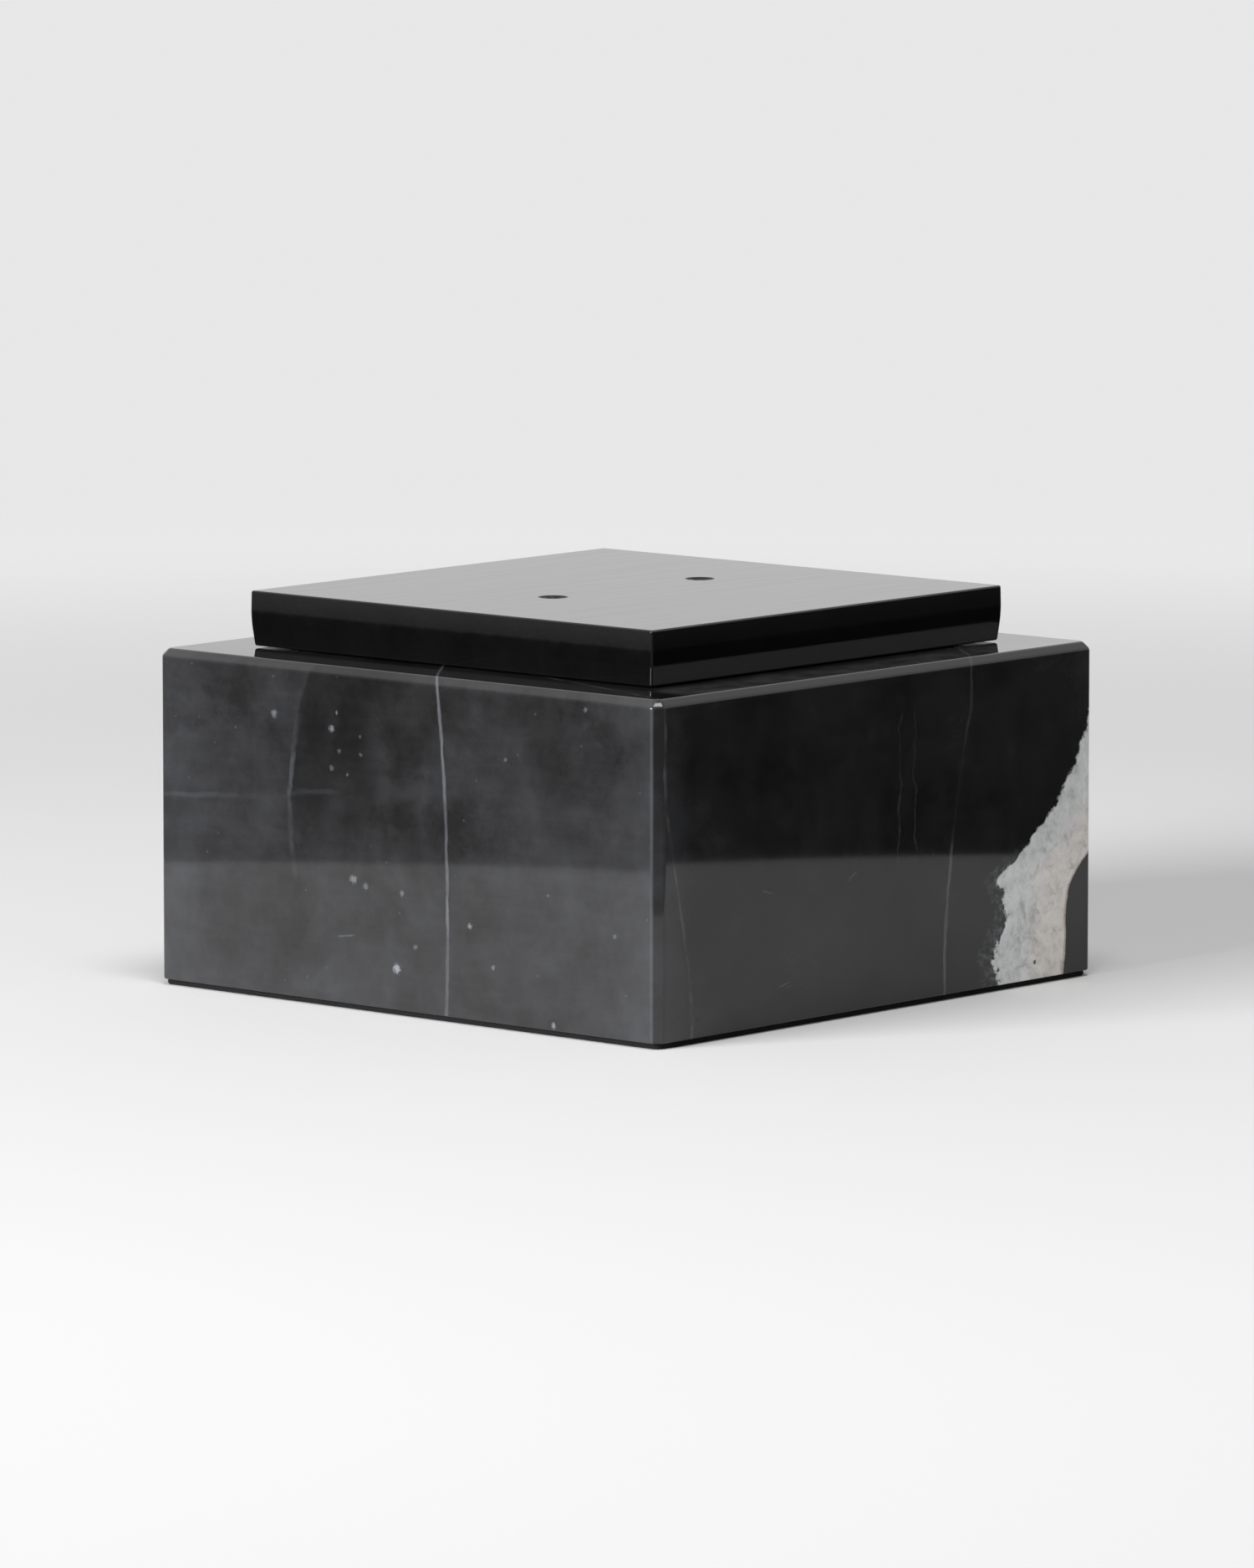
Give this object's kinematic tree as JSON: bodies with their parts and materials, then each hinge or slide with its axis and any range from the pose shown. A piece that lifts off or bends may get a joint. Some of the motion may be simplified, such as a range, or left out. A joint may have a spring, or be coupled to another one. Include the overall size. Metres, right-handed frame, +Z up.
{
  "type": "display plinth",
  "caption": "Square polished black marble display plinth with white veins, a stepped gloss black mounting plate held by studs from below, and a felt base.",
  "frame": {"origin": "middle of the square footprint, on the plane that the felt base lies on", "axes": "+Z up through the mounting plate; X runs along the line of the two exhibit screws; the sides of the block face X and Y; the picture looks at the -X and -Y sides"},
  "size_m": [0.15, 0.15, 0.0891],
  "materials": {
    "marble": "polished",
    "black_lacquer": "gloss",
    "zinc_steel": "satin",
    "spring_steel": "satin",
    "black_steel": "satin",
    "felt": "matte"
  },
  "bodies": {
    "root": {"marble_block": "marble", "mounting_plate": "black_lacquer", "stud_1": "zinc_steel", "stud_2": "zinc_steel", "stud_3": "zinc_steel", "stud_4": "zinc_steel", "flat_washer_1": "zinc_steel", "flat_washer_2": "zinc_steel", "flat_washer_3": "zinc_steel", "flat_washer_4": "zinc_steel", "spring_washer_1": "spring_steel", "spring_washer_2": "spring_steel", "spring_washer_3": "spring_steel", "spring_washer_4": "spring_steel", "hex_nut_1": "zinc_steel", "hex_nut_2": "zinc_steel", "hex_nut_3": "zinc_steel", "hex_nut_4": "zinc_steel", "exhibit_screw_1": "black_steel", "exhibit_screw_2": "black_steel", "felt_base": "felt"}
  },
  "joints": []
}
